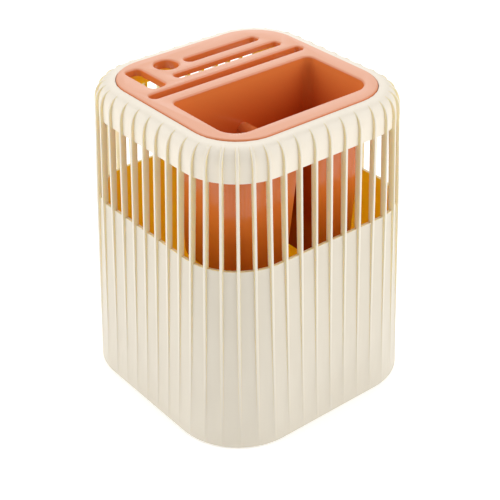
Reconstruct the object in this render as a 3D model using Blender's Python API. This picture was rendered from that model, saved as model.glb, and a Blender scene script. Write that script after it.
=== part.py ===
"""Rotating knife and utensil organizer: a ribbed shell with a lift-out tray, on a ball-bearing turntable.

Metres, +Z up. The origin is on the table, on the axis that the organizer turns about.
The long slots of the tray run along X, and its tub is on the -Y side.
"""

import math

import bmesh
import bpy
from mathutils import Vector

# Clearance between pieces that seat on each other
FIT = 0.0003

# Shell: a drafted rounded square with upright ribs and a band of windows between them
SHELL_WIDTH = 0.165
SHELL_CORNER = 0.0440
SHELL_TOP = 0.1990
SHELL_LIFT = 0.0010
SHELL_DRAFT = math.radians(2.05)
SHELL_WALL = 0.0020
SKIRT_WALL = 0.0026
ROLL_WIDTH = 0.0123
ROLL_HEIGHT = 0.0180
ROLL_POWER = 2.95
ROLL_STEPS = 5
RIM_CORNER = 0.0298
HEAD_DRAW = 0.37
RIBS_PER_SIDE = 13
RIB_WIDTH = 0.0016
RIB_TAPER = 0.00025
RECESS_AT_SILL = 0.0016
RECESS_AT_HEAD = 0.0020
WINDOW_HEIGHT = 0.0547
WINDOW_BAND = 0.0198
REBATE_DEPTH = 0.0018
LEDGE_WIDTH = 0.0022
LEDGE_THICKNESS = 0.0016
FLOOR_THICKNESS = 0.0025
BOSS_RADIUS = 0.0040
BOSS_HEIGHT = 0.0060

# Lift-out tray: a flat plate with a tub, three slots, a round hole and a rectangular hole
TRAY_THICKNESS = 0.0025
TRAY_EDGE = 0.0010
TRAY_GAP = 0.0004
TRAY_WALL = 0.0018
LIP = 0.0014
KNIFE_ZONE = 0.0593
TUB_MARGIN = 0.0109
TUB_DEPTH = 0.1056
TUB_DRAFT = math.radians(2.2)
TUB_FRONT_CORNER = 0.0125
TUB_BACK_CORNER = 0.0055
TUB_FLOOR_ROUND = 0.0150
FOLD_DROP = 0.0290
FOLD_HALF_WIDTH = 0.0052
FOLD_ROUND = 0.0050
FOLD_DRAFT = math.radians(6.2)
SLOT_WIDTH = 0.0072
SLOT_SKIRT = (0.0048, 0.0034, 0.0048)
HOLE_SKIRT = 0.0048
SLOT_FIRST = 0.0123
SLOT_PITCH = 0.01465
SLOT_MARGIN_RIGHT = (0.0045, 0.0105, 0.0165)
SLOT_MARGIN_LEFT = (0.0042, 0.0325, 0.0510)
STEEL_HOLE_RADIUS = 0.0075
STEEL_HOLE_PLACE = (0.0400, 0.0152)
SHEARS_HOLE_SIZE = (0.0110, 0.0304)
SHEARS_HOLE_PLACE = (0.0188, 0.0236)
SHEARS_HOLE_CORNER = 0.0040

# Turntable under the shell
FOOT_RADIUS = 0.0060
FOOT_PROUD = 0.0020
FOOT_SUNK = 0.0010
FOOT_INSET = 0.0090
BASE_THICKNESS = 0.0032
BASE_INSET = 0.0105
PLATE_THICKNESS = 0.0030
PLATE_INSET = 0.0110
RACE_INSET = 0.0205
BALL_RADIUS = 0.0025
BALL_COUNT = 12
GROOVE_DEPTH = 0.0012
CAGE_WIDTH = 0.0090
PIN_RADIUS = 0.0030
PIN_HEAD_RADIUS = 0.0060
PIN_HEAD = 0.0011
WASHER_RADIUS = 0.0065
WASHER_THICKNESS = 0.0008
SCREW_RADIUS = 0.0015
SCREW_HEAD_RADIUS = 0.0030
SCREW_HEAD = 0.0017
SCREW_LENGTH = 0.0070
SCREW_INSET = 0.0050

# Facets
CORNER_STEPS = 6
TURN_STEPS = 44
SMALL_TURN_STEPS = 16
BALL_STEPS = 12
FLOOR_ROUND_STEPS = 4
LIP_STEPS = 3

# Levels and plan sizes that follow from the driving ones
SHELL_HALF = SHELL_WIDTH / 2
ROLL_START = SHELL_TOP - ROLL_HEIGHT
RIM_INSET = (ROLL_START - SHELL_LIFT) * math.tan(SHELL_DRAFT) + ROLL_WIDTH
RIM_HALF = SHELL_HALF - RIM_INSET
WINDOW_HEAD = SHELL_TOP - WINDOW_BAND
WINDOW_SILL = WINDOW_HEAD - WINDOW_HEIGHT
LEDGE_TOP = SHELL_TOP - REBATE_DEPTH

TRAY_BOTTOM = LEDGE_TOP + FIT
TRAY_TOP = TRAY_BOTTOM + TRAY_THICKNESS
TRAY_HALF = RIM_HALF - TRAY_GAP
TRAY_CORNER = RIM_CORNER - TRAY_GAP
TUB_FRONT = -TRAY_HALF + TUB_MARGIN
TUB_BACK = TRAY_HALF - KNIFE_ZONE
TUB_HALF_LENGTH = TRAY_HALF - TUB_MARGIN
TUB_HALF_BREADTH = (TUB_BACK - TUB_FRONT) / 2
TUB_CENTRE = (TUB_BACK + TUB_FRONT) / 2
TUB_BOTTOM = TRAY_TOP - TUB_DEPTH
FOLD_TOP = TRAY_TOP - FOLD_DROP

BASE_BOTTOM = FOOT_PROUD
BASE_TOP = BASE_BOTTOM + BASE_THICKNESS
BALL_HEIGHT = BASE_TOP - GROOVE_DEPTH + FIT + BALL_RADIUS
PLATE_BOTTOM = BALL_HEIGHT + BALL_RADIUS + FIT - GROOVE_DEPTH
PLATE_TOP = PLATE_BOTTOM + PLATE_THICKNESS
FLOOR_BOTTOM = PLATE_TOP + FIT
FLOOR_TOP = FLOOR_BOTTOM + FLOOR_THICKNESS
PLATE_RADIUS = SHELL_HALF - SKIRT_WALL - PLATE_INSET
BASE_RADIUS = PLATE_RADIUS - BASE_INSET
RACE_RADIUS = BASE_RADIUS - RACE_INSET
FOOT_CIRCLE = BASE_RADIUS - FOOT_INSET
SCREW_CIRCLE = PLATE_RADIUS - SCREW_INSET


def material(name, colour, roughness, metallic=0.0):
    """Return a plain material of one colour."""
    made = bpy.data.materials.new(name)
    made.use_nodes = True
    shader = made.node_tree.nodes["Principled BSDF"]
    shader.inputs["Base Color"].default_value = (*colour, 1.0)
    shader.inputs["Roughness"].default_value = roughness
    shader.inputs["Metallic"].default_value = metallic
    return made


def empty(name):
    """Return an empty on the turning axis, to carry the pieces of one moving body."""
    made = bpy.data.objects.new(name, None)
    bpy.context.collection.objects.link(made)
    return made


def add(name, mesh, finish=None, parent=None, place=(0, 0, 0), smooth=True):
    """Put a bmesh into the scene as one named object and return it."""
    bmesh.ops.recalc_face_normals(mesh, faces=mesh.faces)
    data = bpy.data.meshes.new(name)
    mesh.to_mesh(data)
    mesh.free()
    if smooth:
        data.shade_smooth()
        data.set_sharp_from_angle(angle=math.radians(35))
    if finish:
        data.materials.append(finish)
    made = bpy.data.objects.new(name, data)
    bpy.context.collection.objects.link(made)
    made.location = place
    made.parent = parent
    return made


def helper(made):
    """Mark an object as a tool of a Boolean, not a piece of the organizer."""
    made.hide_render = True
    made.display_type = "WIRE"
    return made


def combine(target, other, operation):
    """Add a live Boolean to the target."""
    step = target.modifiers.new(other.name, "BOOLEAN")
    step.operation = operation
    step.object = helper(other)


def skin(rings, close_bottom=True, close_top=True):
    """Return a bmesh skinned over rings of equal length, from the first to the last."""
    mesh = bmesh.new()
    loops = [[mesh.verts.new(point) for point in ring] for ring in rings]
    for lower, upper in zip(loops, loops[1:]):
        count = len(lower)
        for i in range(count):
            j = (i + 1) % count
            mesh.faces.new((lower[i], lower[j], upper[j], upper[i]))
    if close_bottom:
        mesh.faces.new(reversed(loops[0]))
    if close_top:
        mesh.faces.new(loops[-1])
    return mesh


def turned(profile, steps):
    """Return a bmesh of a profile of (radius, height) points spun about Z; a ring profile closes on itself."""
    mesh = bmesh.new()
    points = [mesh.verts.new((radius, 0, height)) for radius, height in profile]
    pairs = list(zip(points, points[1:]))
    if all(radius > 0 for radius, height in profile):
        pairs.append((points[-1], points[0]))
    edges = [mesh.edges.new(pair) for pair in pairs]
    bmesh.ops.spin(mesh, geom=points + edges, cent=(0, 0, 0), axis=(0, 0, 1), angle=math.tau, steps=steps)
    bmesh.ops.remove_doubles(mesh, verts=mesh.verts, dist=1e-6)
    return mesh


def rounded(half_x, half_y, radii, centre, height):
    """Return a ring round a rectangle; radii are those of its front-right, back-right, back-left and front-left."""
    ring = []
    for quarter, (sx, sy) in enumerate(((1, -1), (1, 1), (-1, 1), (-1, -1))):
        radius = radii[quarter]
        for step in range(CORNER_STEPS + 1):
            turn = math.radians(90) * (quarter - 1 + step / CORNER_STEPS)
            x = centre[0] + sx * (half_x - radius) + radius * math.cos(turn)
            y = centre[1] + sy * (half_y - radius) + radius * math.sin(turn)
            ring.append((x, y, height))
    return ring


def on_circle(radius, count, start=0.0):
    """Return evenly spaced plan points on a circle about the axis."""
    turns = [start + math.tau * i / count for i in range(count)]
    return [(radius * math.cos(turn), radius * math.sin(turn)) for turn in turns]


def station(distance):
    """Return the point and outward normal at a distance along the shell's lower outline, from the middle of -Y."""
    flat = 2 * (SHELL_HALF - SHELL_CORNER)
    arc = SHELL_CORNER * math.pi / 2
    side, along = divmod(distance + flat / 2, flat + arc)
    if along <= flat:
        turn = 0.0
        point = Vector((along - flat / 2, -SHELL_HALF))
    else:
        turn = (along - flat) / SHELL_CORNER
        centre = Vector((flat / 2, -flat / 2))
        point = centre + SHELL_CORNER * Vector((math.sin(turn), -math.cos(turn)))
    normal = Vector((math.sin(turn), -math.cos(turn)))
    corner = math.radians(90) * side
    spin = ((math.cos(corner), -math.sin(corner)), (math.sin(corner), math.cos(corner)))
    return [Vector((row[0] * v.x + row[1] * v.y for row in spin)) for v in (point, normal)]


def draft_inset(height):
    """Return how far the straight wall has come in at a height."""
    return (height - SHELL_LIFT) * math.tan(SHELL_DRAFT)


def corner_draw(point, normal):
    """Return how much further than the flats a station comes in to meet the rounder corner of the rim."""
    axis = RIM_HALF - RIM_CORNER
    inset = RIM_INSET
    for _ in range(CORNER_STEPS):
        place = point - normal * inset
        inset += math.hypot(max(abs(place.x) - axis, 0), max(abs(place.y) - axis, 0)) - RIM_CORNER
    return inset - RIM_INSET


def shell_ring(height, inset, recess, draw=0.0):
    """Return a ring of four points per rib: panel edge, the two edges of the rib face, panel edge.

    The draw is the share of the way from the wall's own corner to the rounder corner of the rim.
    """
    flat = 2 * (SHELL_HALF - SHELL_CORNER)
    count = 4 * RIBS_PER_SIDE
    outline = 4 * flat + math.tau * SHELL_CORNER
    half = RIB_WIDTH / 2
    ring = []
    for i in range(count):
        point, normal = station(outline * i / count)
        tangent = Vector((-normal.y, normal.x))
        base = inset + draw * corner_draw(point, normal)
        for offset, depth in ((-half - RIB_TAPER, recess), (-half, 0), (half, 0), (half + RIB_TAPER, recess)):
            place = point + tangent * offset - normal * (base + depth)
            ring.append((place.x, place.y, height))
    return ring


def outer_levels():
    """Return (height, inset, recess, draw) up the outside of the shell, from its foot to its rim."""
    levels = [
        (SHELL_LIFT, 0.0, 0.0, 0.0),
        (WINDOW_SILL, draft_inset(WINDOW_SILL), RECESS_AT_SILL, 0.0),
        (WINDOW_HEAD, draft_inset(WINDOW_HEAD), RECESS_AT_HEAD, HEAD_DRAW),
    ]
    for step in range(1, ROLL_STEPS + 1):
        turn = math.radians(90) * step / ROLL_STEPS
        rise = math.sin(turn) ** (2 / ROLL_POWER)
        lean = max(0.0, math.cos(turn)) ** (2 / ROLL_POWER)
        inset = RIM_INSET - ROLL_WIDTH * lean
        fade = 1 - step / ROLL_STEPS
        draw = 1 - lean * (1 - HEAD_DRAW)
        levels.append((ROLL_START + ROLL_HEIGHT * rise, inset, RECESS_AT_HEAD * fade, draw))
    return levels


def outer_shell(finish, parent):
    """Build the ribbed shell with its floor, rim ledge, windows and screw bosses."""
    outside = [shell_ring(*level) for level in outer_levels()]
    ledge_bottom = LEDGE_TOP - LEDGE_THICKNESS
    wall_at_sill = draft_inset(WINDOW_SILL) + RECESS_AT_SILL + SHELL_WALL
    wall_at_head = draft_inset(WINDOW_HEAD) + RECESS_AT_HEAD + SHELL_WALL
    inside = [
        shell_ring(LEDGE_TOP, RIM_INSET, 0, 1),
        shell_ring(LEDGE_TOP, RIM_INSET + LEDGE_WIDTH, 0, 1),
        shell_ring(ledge_bottom, RIM_INSET + LEDGE_WIDTH, 0, 1),
        shell_ring(ledge_bottom, RIM_INSET - ROLL_WIDTH / 3, 0, 2 / 3),
        shell_ring(WINDOW_HEAD, wall_at_head, 0, HEAD_DRAW),
        shell_ring(WINDOW_SILL, wall_at_sill, 0),
        shell_ring(FLOOR_TOP, draft_inset(FLOOR_TOP) + SKIRT_WALL, 0),
    ]
    underside = [
        shell_ring(FLOOR_BOTTOM, SKIRT_WALL, 0),
        shell_ring(SHELL_LIFT, SKIRT_WALL, 0),
    ]
    mesh = skin(underside + outside + inside)
    cut_windows(mesh, len(underside) + 1, len(underside) + len(outside) + 4)
    shell = add("outer_shell", mesh, finish, parent, smooth=False)
    for i, (x, y) in enumerate(on_circle(SCREW_CIRCLE, 4, math.radians(45))):
        boss_low = FLOOR_BOTTOM + FLOOR_THICKNESS / 2
        boss = turned(((0, FLOOR_TOP + BOSS_HEIGHT), (BOSS_RADIUS, FLOOR_TOP + BOSS_HEIGHT),
                       (BOSS_RADIUS, boss_low), (0, boss_low)), SMALL_TURN_STEPS)
        combine(shell, add(f"boss_{i + 1}", boss, place=(x, y, 0)), "UNION")
    for i, (x, y) in enumerate(on_circle(SCREW_CIRCLE, 4, math.radians(45))):
        combine(shell, screw_hole(f"boss_hole_{i + 1}", x, y), "DIFFERENCE")
    return shell


def cut_windows(mesh, outer_sill, inner_head):
    """Open the wall between neighbouring ribs, from sill to head, and face the reveals."""
    mesh.verts.ensure_lookup_table()
    count = 16 * RIBS_PER_SIDE
    inner_sill = inner_head + 1
    for i in range(3, count, 4):
        j = (i + 1) % count
        outer = [mesh.verts[count * level + k] for level, k in
                 ((outer_sill, i), (outer_sill, j), (outer_sill + 1, j), (outer_sill + 1, i))]
        inner = [mesh.verts[count * level + k] for level, k in
                 ((inner_sill, i), (inner_sill, j), (inner_head, j), (inner_head, i))]
        for pane in (outer, inner):
            mesh.faces.remove(next(face for face in pane[0].link_faces if set(face.verts) == set(pane)))
        for k in range(4):
            n = (k + 1) % 4
            mesh.faces.new((outer[k], outer[n], inner[n], inner[k]))


def screw_hole(name, x, y):
    """Return a cutter for a screw that comes up through the plate into a boss."""
    radius = SCREW_RADIUS + FIT
    low = PLATE_BOTTOM - PLATE_THICKNESS
    high = PLATE_BOTTOM + SCREW_LENGTH + FIT
    hole = turned(((0, high), (radius, high), (radius, low), (0, low)), SMALL_TURN_STEPS)
    return add(name, hole, place=(x, y, 0))


def stadium(centre, half_x, half_y, corner, grow, height):
    """Return a ring round a hole in the tray, grown by an amount on every side."""
    radius = corner + grow
    return rounded(half_x + grow, half_y + grow, [radius] * 4, centre, height)


def tray_holes():
    """Return (name, centre, half size in x, half size in y, corner, skirt) of each slot and hole in the plate."""
    holes = []
    for i, (right, left, skirt) in enumerate(zip(SLOT_MARGIN_RIGHT, SLOT_MARGIN_LEFT, SLOT_SKIRT)):
        x0 = -TRAY_HALF + left
        x1 = TRAY_HALF - right
        y = TUB_BACK + SLOT_FIRST + i * SLOT_PITCH
        half = SLOT_WIDTH / 2
        holes.append((f"slot_{i + 1}", ((x0 + x1) / 2, y), (x1 - x0) / 2 - LIP, half, half, skirt))
    steel = (-TRAY_HALF + STEEL_HOLE_PLACE[0], TRAY_HALF - STEEL_HOLE_PLACE[1])
    shears = (-TRAY_HALF + SHEARS_HOLE_PLACE[0], TRAY_HALF - SHEARS_HOLE_PLACE[1])
    holes.append(("steel_hole", steel, STEEL_HOLE_RADIUS, STEEL_HOLE_RADIUS, STEEL_HOLE_RADIUS, HOLE_SKIRT))
    shears_x, shears_y = (size / 2 for size in SHEARS_HOLE_SIZE)
    holes.append(("shears_hole", shears, shears_x, shears_y, SHEARS_HOLE_CORNER, HOLE_SKIRT))
    return holes


def lip_levels():
    """Return (height, growth) of the rounded lip of a hole, from inside the plate to just above it."""
    turns = [math.radians(90) * step / LIP_STEPS for step in range(LIP_STEPS + 1)]
    levels = [(TRAY_TOP - LIP * (1 - math.sin(turn)), LIP * (1 - math.cos(turn))) for turn in turns]
    (low, narrow), (high, wide) = levels[-2:]
    levels[-1] = (high + FIT, wide + FIT * (wide - narrow) / (high - low))
    return levels


def tub_ring(height, grow, round_inset=0.0):
    """Return a ring round the tub at a height, grown outwards by a wall."""
    inset = (TRAY_TOP - height) * math.tan(TUB_DRAFT) + round_inset - grow
    front = max(TUB_FRONT_CORNER - round_inset + grow, TRAY_WALL)
    back = max(TUB_BACK_CORNER - round_inset + grow, TRAY_WALL)
    radii = [front, back, back, front]
    return rounded(TUB_HALF_LENGTH - inset, TUB_HALF_BREADTH - inset, radii, (0, TUB_CENTRE), height)


def tub_rings(bottom, grow, radius):
    """Return the rings of the tub from its rounded floor to the level where its lip begins."""
    rings = []
    for step in range(FLOOR_ROUND_STEPS, -1, -1):
        turn = math.radians(90) * step / FLOOR_ROUND_STEPS
        rings.append(tub_ring(bottom + radius * (1 - math.sin(turn)), grow, radius * (1 - math.cos(turn))))
    return rings


def fold_prism(name, grow):
    """Return a cutter along Y of the fold that splits the tub, grown by a wall."""
    half = FOLD_HALF_WIDTH + grow
    top = FOLD_TOP - TRAY_WALL + grow
    radius = FOLD_ROUND + grow
    low = TUB_BOTTOM - TUB_FLOOR_ROUND
    spread = (top - radius - low) * math.tan(FOLD_DRAFT)
    turns = [math.radians(90) * step / CORNER_STEPS for step in range(CORNER_STEPS + 1)]
    arc = [(half - radius + radius * math.cos(turn), top - radius + radius * math.sin(turn)) for turn in turns]
    right = [(half + spread, low)] + arc
    outline = right + [(-x, z) for x, z in reversed(right)]
    reach = TUB_HALF_BREADTH + 2 * TRAY_WALL + LIP
    ends = [[(x, TUB_CENTRE + y, z) for x, z in outline] for y in (-reach, reach)]
    return add(name, skin(ends))


def insert_tray(finish, parent):
    """Build the lift-out tray with its tub, slots and holes as one moulding."""
    edge = ((TRAY_BOTTOM, 0.0), (TRAY_TOP - TRAY_EDGE, 0.0), (TRAY_TOP - TRAY_EDGE * 0.3, TRAY_EDGE * 0.3),
            (TRAY_TOP, TRAY_EDGE))
    plate = [rounded(TRAY_HALF - inset, TRAY_HALF - inset, [TRAY_CORNER - inset] * 4, (0, 0), height)
             for height, inset in edge]
    tray = add("insert_tray", skin(plate), finish, parent)
    mid_plate = TRAY_BOTTOM + TRAY_THICKNESS / 3
    holes = tray_holes()
    for name, centre, half_x, half_y, corner, skirt in holes:
        rings = [stadium(centre, half_x, half_y, corner, TRAY_WALL, height) for height in (TRAY_TOP - skirt, mid_plate)]
        combine(tray, add(f"{name}_skirt", skin(rings)), "UNION")
    tub = tub_rings(TUB_BOTTOM, TRAY_WALL, TUB_FLOOR_ROUND) + [tub_ring(mid_plate, TRAY_WALL)]
    combine(tray, add("tub_outside", skin(tub)), "UNION")
    inner_round = TUB_FLOOR_ROUND - TRAY_WALL
    lips = [tub_ring(height, grow) for height, grow in lip_levels()]
    inside = add("tub_inside", skin(tub_rings(TUB_BOTTOM + TRAY_WALL, 0.0, inner_round) + lips))
    combine(inside, fold_prism("fold_outside", TRAY_WALL), "DIFFERENCE")
    combine(tray, inside, "DIFFERENCE")
    combine(tray, fold_prism("fold_hollow", 0.0), "DIFFERENCE")
    for name, centre, half_x, half_y, corner, skirt in holes:
        bore = [(TRAY_TOP - skirt - LIP, 0.0)] + lip_levels()
        rings = [stadium(centre, half_x, half_y, corner, grow, height) for height, grow in bore]
        combine(tray, add(f"{name}_bore", skin(rings)), "DIFFERENCE")
    return tray


def groove(height, way):
    """Return the (radius, height) points across a ball groove, from the outer edge in; way is -1 down, 1 up."""
    radius = BALL_RADIUS + FIT
    centre = height + way * (GROOVE_DEPTH - radius)
    reach = math.acos(1 - GROOVE_DEPTH / radius)
    turns = [reach * step / 3 for step in range(3, -4, -1)]
    return [(RACE_RADIUS + radius * math.sin(turn), centre + way * radius * math.cos(turn)) for turn in turns]


def swivel_base(finish):
    """Build the fixed lower disc with its ball groove, foot pockets and pin hole."""
    bore = PIN_RADIUS + FIT
    head = PIN_HEAD_RADIUS + FIT
    head_top = BASE_BOTTOM + PIN_HEAD + 2 * FIT
    chamfer = BASE_THICKNESS / 4
    profile = [(bore, head_top), (head, head_top), (head, BASE_BOTTOM), (BASE_RADIUS - chamfer, BASE_BOTTOM),
               (BASE_RADIUS, BASE_BOTTOM + chamfer), (BASE_RADIUS, BASE_TOP - chamfer),
               (BASE_RADIUS - chamfer, BASE_TOP)]
    profile += groove(BASE_TOP, -1) + [(bore, BASE_TOP)]
    base = add("swivel_base", turned(profile, TURN_STEPS), finish)
    radius = FOOT_RADIUS + FIT
    high = BASE_BOTTOM + FOOT_SUNK + FIT
    low = BASE_BOTTOM - FOOT_PROUD
    for i, (x, y) in enumerate(on_circle(FOOT_CIRCLE, 4, math.radians(45))):
        pocket = turned(((0, high), (radius, high), (radius, low), (0, low)), SMALL_TURN_STEPS)
        combine(base, add(f"foot_pocket_{i + 1}", pocket, place=(x, y, 0)), "DIFFERENCE")
    return base


def feet(finish):
    """Build the rubber feet under the base."""
    chamfer = FOOT_PROUD / 4
    top = FOOT_PROUD + FOOT_SUNK
    profile = ((0, top), (FOOT_RADIUS, top), (FOOT_RADIUS, chamfer), (FOOT_RADIUS - chamfer, 0), (0, 0))
    for i, (x, y) in enumerate(on_circle(FOOT_CIRCLE, 4, math.radians(45))):
        add(f"foot_{i + 1}", turned(profile, SMALL_TURN_STEPS), finish, place=(x, y, 0))


def pivot(pin_finish):
    """Build the headed pin through the middle of the turntable and the washer that holds the plate on it."""
    head_low = BASE_BOTTOM + FIT
    head_high = head_low + PIN_HEAD
    top = PLATE_TOP
    pin = ((0, top), (PIN_RADIUS - FIT, top), (PIN_RADIUS, top - FIT), (PIN_RADIUS, head_high),
           (PIN_HEAD_RADIUS, head_high), (PIN_HEAD_RADIUS, head_low), (0, head_low))
    add("pivot_pin", turned(pin, TURN_STEPS // 2), pin_finish)
    washer_low = PLATE_TOP - FIT - WASHER_THICKNESS
    bore = PIN_RADIUS + FIT / 2
    washer = ((WASHER_RADIUS, PLATE_TOP - FIT), (WASHER_RADIUS, washer_low),
              (bore, washer_low), (bore, PLATE_TOP - FIT))
    add("pivot_washer", turned(washer, TURN_STEPS // 2), pin_finish)


def race_plate(finish, parent):
    """Build the turning upper disc with its ball groove, washer seat and screw holes."""
    bore = PIN_RADIUS + FIT
    seat = WASHER_RADIUS + FIT
    seat_low = PLATE_TOP - 2 * FIT - WASHER_THICKNESS
    chamfer = PLATE_THICKNESS / 4
    profile = [(PLATE_RADIUS - chamfer, PLATE_BOTTOM), (PLATE_RADIUS, PLATE_BOTTOM + chamfer),
               (PLATE_RADIUS, PLATE_TOP), (seat, PLATE_TOP), (seat, seat_low), (bore, seat_low), (bore, PLATE_BOTTOM)]
    profile += list(reversed(groove(PLATE_BOTTOM, 1)))
    plate = add("race_plate", turned(profile, TURN_STEPS), finish, parent)
    for i, (x, y) in enumerate(on_circle(SCREW_CIRCLE, 4, math.radians(45))):
        combine(plate, screw_hole(f"plate_hole_{i + 1}", x, y), "DIFFERENCE")
    return plate


def plate_screws(finish, parent):
    """Build the screws that hold the race plate to the bosses of the shell."""
    head_top = PLATE_BOTTOM - FIT
    head_low = head_top - SCREW_HEAD
    tip = PLATE_BOTTOM + SCREW_LENGTH
    profile = ((0, tip), (SCREW_RADIUS * 0.6, tip), (SCREW_RADIUS, tip - SCREW_RADIUS), (SCREW_RADIUS, head_top),
               (SCREW_HEAD_RADIUS, head_top), (SCREW_HEAD_RADIUS, head_low + SCREW_HEAD / 2),
               (SCREW_HEAD_RADIUS * 0.7, head_low), (0, head_low))
    for i, (x, y) in enumerate(on_circle(SCREW_CIRCLE, 4, math.radians(45))):
        add(f"plate_screw_{i + 1}", turned(profile, SMALL_TURN_STEPS), finish, parent, (x, y, 0))


def ball_ring(cage_finish, ball_finish, parent):
    """Build the bearing balls and the cage that spaces them."""
    low = BASE_TOP + FIT
    high = PLATE_BOTTOM - FIT
    inner = RACE_RADIUS - CAGE_WIDTH / 2
    outer = RACE_RADIUS + CAGE_WIDTH / 2
    cage = add("ball_cage", turned(((outer, high), (outer, low), (inner, low), (inner, high)), TURN_STEPS),
               cage_finish, parent)
    reach = BALL_RADIUS + FIT
    for i, (x, y) in enumerate(on_circle(RACE_RADIUS, BALL_COUNT)):
        hole = turned(((0, high + FIT), (reach, high + FIT), (reach, low - FIT), (0, low - FIT)), SMALL_TURN_STEPS)
        combine(cage, add(f"cage_hole_{i + 1}", hole, place=(x, y, 0)), "DIFFERENCE")
        ball = bmesh.new()
        bmesh.ops.create_uvsphere(ball, u_segments=BALL_STEPS, v_segments=BALL_STEPS // 2, radius=BALL_RADIUS)
        add(f"ball_{i + 1}", ball, ball_finish, parent, (x, y, BALL_HEIGHT))


def build():
    """Build every piece of the organizer."""
    for old in list(bpy.data.objects):
        bpy.data.objects.remove(old, do_unlink=True)
    cream = material("cream_plastic", (0.82, 0.76, 0.62), 0.42)
    coral = material("coral_plastic", (0.79, 0.40, 0.28), 0.35)
    pale = material("pale_plastic", (0.78, 0.74, 0.66), 0.5)
    steel = material("bright_steel", (0.62, 0.62, 0.62), 0.22, 1.0)
    rubber = material("grey_rubber", (0.12, 0.12, 0.12), 0.8)

    turning = empty("turntable_axis")
    rolling = empty("ball_ring_axis")
    lifting = empty("lift_axis")
    lifting.parent = turning

    outer_shell(cream, turning)
    race_plate(pale, turning)
    plate_screws(steel, turning)
    insert_tray(coral, lifting)
    ball_ring(pale, steel, rolling)
    swivel_base(pale)
    pivot(steel)
    feet(rubber)


build()
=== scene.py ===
"""Looks of the rotating knife and utensil organizer: ribbed shell, lift-out tray, turntable, studio."""

from __future__ import annotations

import logging
import math
from dataclasses import dataclass, replace
from enum import Enum, IntEnum

import bmesh
import bpy
from mathutils import Matrix, Vector


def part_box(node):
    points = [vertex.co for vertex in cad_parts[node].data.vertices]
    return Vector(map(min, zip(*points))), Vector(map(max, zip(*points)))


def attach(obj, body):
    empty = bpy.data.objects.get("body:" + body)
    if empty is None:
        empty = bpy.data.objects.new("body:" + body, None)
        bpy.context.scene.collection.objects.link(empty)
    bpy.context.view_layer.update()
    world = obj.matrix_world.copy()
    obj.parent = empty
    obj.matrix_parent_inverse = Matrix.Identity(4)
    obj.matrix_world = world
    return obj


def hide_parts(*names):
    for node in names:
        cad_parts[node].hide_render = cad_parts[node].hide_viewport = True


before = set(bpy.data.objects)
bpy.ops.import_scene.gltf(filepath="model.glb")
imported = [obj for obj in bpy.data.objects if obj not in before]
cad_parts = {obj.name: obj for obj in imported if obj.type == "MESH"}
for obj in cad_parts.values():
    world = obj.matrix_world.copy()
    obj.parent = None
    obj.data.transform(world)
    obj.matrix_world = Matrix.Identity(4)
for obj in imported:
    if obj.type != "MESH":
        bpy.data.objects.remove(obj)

logging.basicConfig(level=logging.INFO, format="%(name)s: %(message)s")
log = logging.getLogger("organizer")

MM = 0.001
QUARTER = math.radians(90)
WHITE = (1.0, 1.0, 1.0, 1.0)
FILLET_STEPS = 4
BORE_STEPS = 32
# Radius of the flat that closes a turned piece on its axis
POLE = 0.01 * MM
# Points closer than this are one point
WELD = 0.001 * MM

Piece = bpy.types.Object
Material = bpy.types.Material
Plan = tuple[float, float]
Point = tuple[float, float, float]
Ring = list[Point]
Values = dict[str | int, object]


class Operation(Enum):
    """What a Boolean does with its tool."""

    ADD = "UNION"
    CUT = "DIFFERENCE"


class Fade(Enum):
    """What a plastic's second colour, which paints light and shade, follows: the way a face looks, or its
    height on the piece.
    """

    TILT = "Normal"
    HEIGHT = "Object"


class MixIn(IntEnum):
    """The inputs of a Mix node, by number because their names repeat."""

    SHARE = 0
    FLOAT_A = 2
    FLOAT_B = 3
    COLOUR_A = 6
    COLOUR_B = 7


class MixOut(IntEnum):
    """The outputs of a Mix node."""

    FLOAT = 0
    COLOUR = 2


class ShellSide(IntEnum):
    """The shell's finishes, in the order of its materials."""

    OUTSIDE = 0
    EDGE = 1
    INSIDE = 2
    RIB = 3


def linear(code: str) -> tuple[float, float, float, float]:
    """Turn an sRGB hex colour into linear RGBA.

    Args:
        code: Six hex digits, such as "F0E8D8".

    Returns:
        Linear red, green, blue and an alpha of one.
    """
    shares = [int(code[i:i + 2], 16) / 255 for i in (0, 2, 4)]
    flat = [s / 12.92 if s <= 0.04045 else ((s + 0.055) / 1.055) ** 2.4 for s in shares]
    return (flat[0], flat[1], flat[2], 1.0)


def set_values(node: bpy.types.Node, values: Values) -> None:
    """Set a node's properties and inputs.

    Args:
        node: The node.
        values: Values by property name, or by input name or number.
    """
    for key, value in values.items():
        if isinstance(key, str) and hasattr(node, key):
            setattr(node, key, value)
        else:
            node.inputs[key].default_value = value


def add_node(tree: bpy.types.NodeTree, kind: str, settings: Values, links: Values) -> bpy.types.Node:
    """Add a node with its settings and links.

    Args:
        tree: The tree that takes the node.
        kind: The node's type name.
        settings: Values by property name, or by input name or number.
        links: Output sockets by the input name or number that they feed.

    Returns:
        The new node.
    """
    node = tree.nodes.new(kind)
    set_values(node, settings)
    for key, socket in links.items():
        tree.links.new(socket, node.inputs[key])
    return node


def blank(name: str) -> tuple[Material, bpy.types.NodeTree, bpy.types.Node]:
    """Make a plain node material.

    Args:
        name: The material's name.

    Returns:
        The material, its tree and its shader.
    """
    made = bpy.data.materials.new(name)
    made.use_nodes = True
    return (made, made.node_tree, made.node_tree.nodes["Principled BSDF"])


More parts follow.
